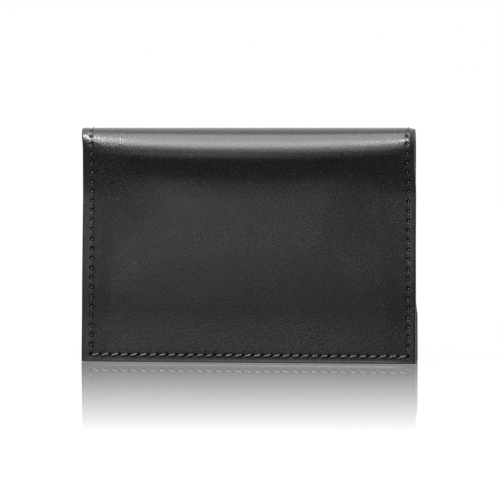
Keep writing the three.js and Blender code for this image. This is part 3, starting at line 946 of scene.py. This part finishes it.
# The floor as the case mirrors it: dark, with a glow behind the case, far away and at the case's foot, where the
# glow's end is in millimetres. A span is where a change starts and where it ends
SEEN_SPAN = (0.08, 0.3)
FLOOR_SEEN_NEAR = 0.09
FLOOR_SEEN_FAR = 0.02
BEHIND_SPAN = (-0.02, 0.12)
CONTACT_GLOW = 1.0
CONTACT_END = 11.0
FAR_GLOW = 0.26
FAR_SPAN = (0.2, 0.6)


def mirroring(add, ray):
    """1 for a ray that a surface has mirrored or let through."""
    return maths(add, "MAXIMUM", ray.outputs["Is Glossy Ray"], ray.outputs["Is Transmission Ray"])


def mirror_fade(add, place):
    """How far the floor's mirror has faded to white: ahead of the case, sooner behind it, and beside it."""
    turn_x, turn_y = math.cos(CAMERA_AZIMUTH), math.sin(CAMERA_AZIMUTH)
    deep = add("ShaderNodeVectorMath", {0: place, 1: (-turn_y, turn_x, 0.0)}, operation="DOT_PRODUCT")
    beside = add("ShaderNodeVectorMath", {0: place, 1: (turn_x, turn_y, 0.0)}, operation="DOT_PRODUCT")
    rear = maths(add, "MULTIPLY", deep.outputs["Value"], REAR_FADE)
    ahead = maths(add, "MULTIPLY", deep.outputs["Value"], -1.0)
    share = ranged(add, maths(add, "MAXIMUM", rear, ahead), HALF_DEPTH * MM, (HALF_DEPTH + MIRROR_REACH) * MM)
    fade = ranged(add, maths(add, "POWER", share, MIRROR_EASE), 0.0, 1.0, 1.0 - MIRROR_START, 1.0)
    aside = maths(add, "ABSOLUTE", beside.outputs["Value"])
    clear = ranged(add, aside, MIRROR_SIDE * MM, (MIRROR_SIDE + MIRROR_SIDE_FADE) * MM)
    return maths(add, "MAXIMUM", fade, clear)


def mirrored_floor(add, place, far, ray):
    """The floor as the case mirrors it: dark, but bright at the case's foot, far away and behind."""
    across = add("ShaderNodeSeparateXYZ", {"Vector": place}).outputs["Y"]
    dark = add("ShaderNodeBsdfDiffuse", {"Color": ranged(add, far, *SEEN_SPAN, FLOOR_SEEN_NEAR, FLOOR_SEEN_FAR)})
    behind = ranged(add, across, *BEHIND_SPAN)
    contact = ranged(add, maths(add, "ABSOLUTE", across), CONTACT_END * MM, HALF_DEPTH * MM, 0.0, CONTACT_GLOW)
    distant = ranged(add, far, *FAR_SPAN, 0.0, FAR_GLOW)
    bright = maths(add, "MAXIMUM", behind, maths(add, "MAXIMUM", contact, distant))
    sweep = add("ShaderNodeEmission", {"Strength": 1.0})
    both = add("ShaderNodeMixShader", {"Fac": maths(add, "MULTIPLY", mirroring(add, ray), bright),
                                       1: dark.outputs["BSDF"], 2: sweep.outputs["Emission"]})
    return both.outputs["Shader"]


def make_floor():
    """A white floor in which the camera sees the case mirrored."""
    bpy.ops.mesh.primitive_plane_add(size=FLOOR_SIZE, location=(0.0, 0.0, -FLOOR_DROP))
    floor = bpy.context.object
    floor.name = "studio_floor"
    made, shader, add, link = material("studio_floor")
    made.node_tree.nodes.remove(shader)
    place = add("ShaderNodeNewGeometry").outputs["Position"]
    far = add("ShaderNodeVectorMath", {0: place}, operation="LENGTH").outputs["Value"]
    ray = add("ShaderNodeLightPath")
    lit = add("ShaderNodeBsdfDiffuse", {"Color": (FLOOR_ALBEDO, FLOOR_ALBEDO, FLOOR_ALBEDO, 1.0)})
    glow = add("ShaderNodeEmission", {"Strength": ranged(add, far, *WHITER_SPAN, FLOOR_WHITE, 1.0)})
    white = add("ShaderNodeAddShader", {0: lit.outputs["BSDF"], 1: glow.outputs["Emission"]})
    mirror = add("ShaderNodeBsdfGlossy", {"Color": (1.0, 1.0, 1.0, 1.0), "Roughness": 0.0})
    seen = add("ShaderNodeMixShader", {"Fac": mirror_fade(add, place), 1: mirror.outputs["BSDF"],
                                       2: white.outputs["Shader"]})
    chosen = add("ShaderNodeMixShader", {"Fac": ray.outputs["Is Camera Ray"],
                                         1: mirrored_floor(add, place, far, ray), 2: seen.outputs["Shader"]})
    link(chosen.outputs["Shader"], made.node_tree.nodes["Material Output"].inputs["Surface"])
    floor.data.materials.append(made)


WORLD_FILL = 0.25
WORLD_FRONT = 0.15
WORLD_SPAN = (-0.05, 0.5)


def make_world():
    """White where the camera looks, straight or in the floor, and a dim fill for the rest.

    Soft reflections see it white behind the case and dim in front.
    """
    world = bpy.data.worlds.new("studio")
    bpy.context.scene.world = world
    world.use_nodes = True
    back = world.node_tree.nodes["Background"]
    back.inputs["Color"].default_value = (1.0, 1.0, 1.0, 1.0)
    add, link = node_tools(world.node_tree)
    ray = add("ShaderNodeLightPath")
    way = add("ShaderNodeSeparateXYZ", {"Vector": add("ShaderNodeTexCoord").outputs["Generated"]})
    behind = ranged(add, way.outputs["Y"], *WORLD_SPAN, WORLD_FRONT, 1.0)
    unseen = ranged(add, mirroring(add, ray), 0.0, 1.0, WORLD_FILL, behind)
    looked_at = maths(add, "MAXIMUM", ray.outputs["Is Camera Ray"], ray.outputs["Is Singular Ray"])
    link(ranged(add, looked_at, 0.0, 1.0, unseen, 1.0), back.inputs["Strength"])


LAMP_TARGET = Vector((0.0, 0.0, 0.06))

# Azimuth and elevation in degrees, distance, width and height in metres, and brightness
SOFTBOXES = {
    "top_softbox": (-14.0, 66.0, 1.2, 0.9, 1.35, 3.7),
    "strip_softbox": (-6.0, 45.0, 1.25, 0.95, 0.5, 2.5),
    "low_softbox": (3.0, 26.0, 1.25, 0.55, 0.42, 1.5),
    "left_softbox": (-49.0, 54.0, 1.1, 0.18, 0.18, 46.0),
    "right_softbox": (20.0, 50.0, 1.1, 0.12, 0.12, 48.0),
    "front_softbox": (-9.5, 1.0, 1.3, 0.16, 0.34, 2.2),
}


def aim(thing, place, target):
    """Puts a lamp or camera at a place and turns it to a target."""
    thing.location = place
    thing.rotation_euler = (Vector(target) - Vector(place)).to_track_quat("-Z", "Y").to_euler()


def softbox(name, azimuth, elevation, distance, wide, tall, radiance):
    """An area light of a set brightness, aimed at the top of the case."""
    lamp = bpy.data.lights.new(name, "AREA")
    lamp.shape = "RECTANGLE"
    lamp.size, lamp.size_y = wide, tall
    lamp.energy = radiance * math.pi * wide * tall
    box = bpy.data.objects.new(name, lamp)
    bpy.context.scene.collection.objects.link(box)
    box.visible_camera = False
    a, e = math.radians(azimuth), math.radians(elevation)
    way = Vector((math.sin(a) * math.cos(e), -math.cos(a) * math.cos(e), math.sin(e)))
    aim(box, LAMP_TARGET + way * distance, LAMP_TARGET)


def make_camera():
    """The camera at the photograph's angle."""
    lens = bpy.data.cameras.new("camera")
    lens.sensor_width = CAMERA_SENSOR
    lens.lens = CAMERA_LENS
    lens.clip_start = CAMERA_NEAR
    camera = bpy.data.objects.new("camera", lens)
    bpy.context.scene.collection.objects.link(camera)
    east, south = math.sin(CAMERA_AZIMUTH), -math.cos(CAMERA_AZIMUTH)
    aim(camera, (CAMERA_DISTANCE * east, CAMERA_DISTANCE * south, CAMERA_HEIGHT), CAMERA_TARGET)
    bpy.context.scene.camera = camera


make_floor()
make_world()
for lamp_name, lamp_sizes in SOFTBOXES.items():
    softbox(lamp_name, *lamp_sizes)
make_camera()
bpy.context.scene.view_settings.view_transform = "Standard"
